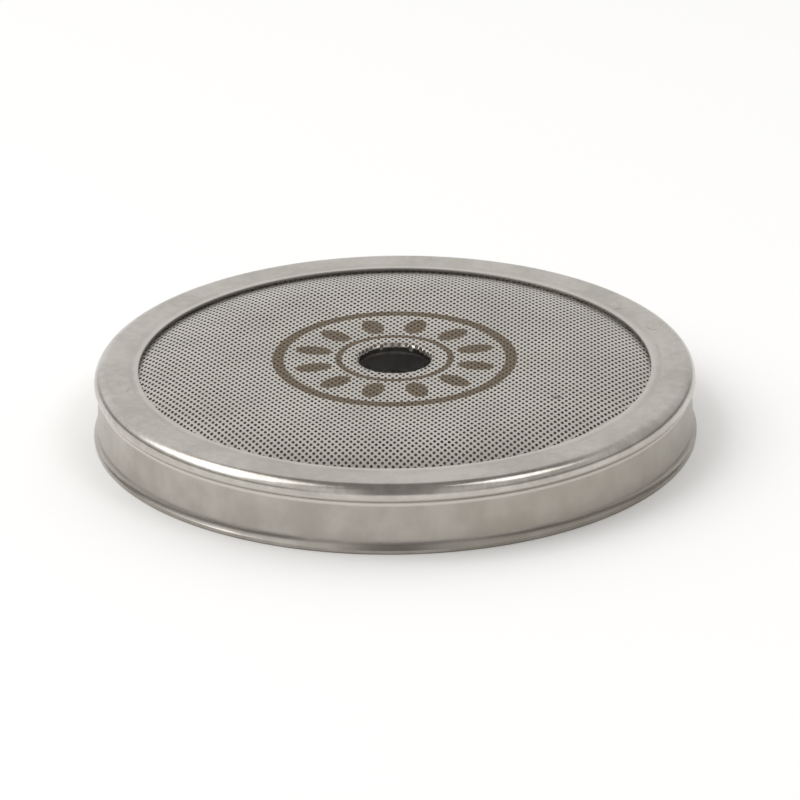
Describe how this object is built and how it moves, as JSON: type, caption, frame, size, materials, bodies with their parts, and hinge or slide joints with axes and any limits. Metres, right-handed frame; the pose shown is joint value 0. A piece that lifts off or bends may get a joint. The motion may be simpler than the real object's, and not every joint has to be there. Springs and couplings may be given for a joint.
{
  "type": "espresso shower screen",
  "caption": "Round espresso machine shower screen: a low-crowned, fine-perforated steel disc with a collared screw hole, over a backing plate in a shallow formed ring with a flared foot.",
  "frame": {"origin": "centre of the ring's foot, on the plane that the foot rests on", "axes": "+Z along the axis of the ring and of the screw hole, out of the perforated face, which faces the coffee in use; the part is round, and +Y points away from the camera of the picture"},
  "size_m": [0.057, 0.057, 0.0072],
  "materials": {
    "ring_steel": "satin pressed stainless sheet with a polished corner",
    "screen_steel": "matt stainless foil with fine round perforations",
    "plate_steel": "plain stainless sheet with punched holes"
  },
  "bodies": {
    "root": {"rim_ring": "ring_steel", "fine_screen": "screen_steel", "backing_plate": "plate_steel"}
  },
  "joints": []
}
